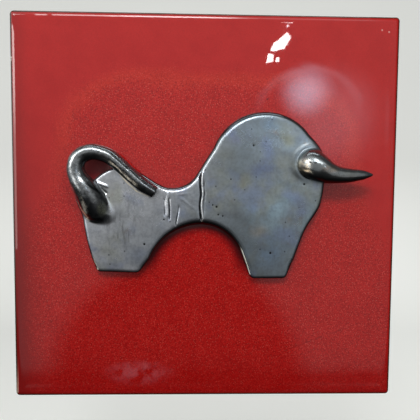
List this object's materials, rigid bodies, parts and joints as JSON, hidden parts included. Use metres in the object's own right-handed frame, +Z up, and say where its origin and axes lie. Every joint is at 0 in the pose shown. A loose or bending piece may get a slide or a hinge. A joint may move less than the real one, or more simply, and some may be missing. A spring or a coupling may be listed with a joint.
{
  "type": "ceramic wall tile with bull relief",
  "caption": "Square glazed ceramic wall tile with a raised stylised bull, a flat slab body with a rolled clay tail and horn.",
  "frame": {"origin": "middle of the tile's back, in the plane of the wall", "axes": "+Z up the tile, +X to the viewer's right, the glazed face looks along -Y and the back along +Y"},
  "size_m": [0.3, 0.0388, 0.3],
  "materials": {
    "red_glaze": "glossy deep red glaze with fine speckles, breaking to dark brown at the edges, bare pale clay behind",
    "metallic_glaze": "gunmetal metallic glaze, satin to glossy, with faint blue, green and brown tints"
  },
  "bodies": {
    "root": {"glazed_tile": "red_glaze", "bull_relief": "metallic_glaze"}
  },
  "joints": []
}
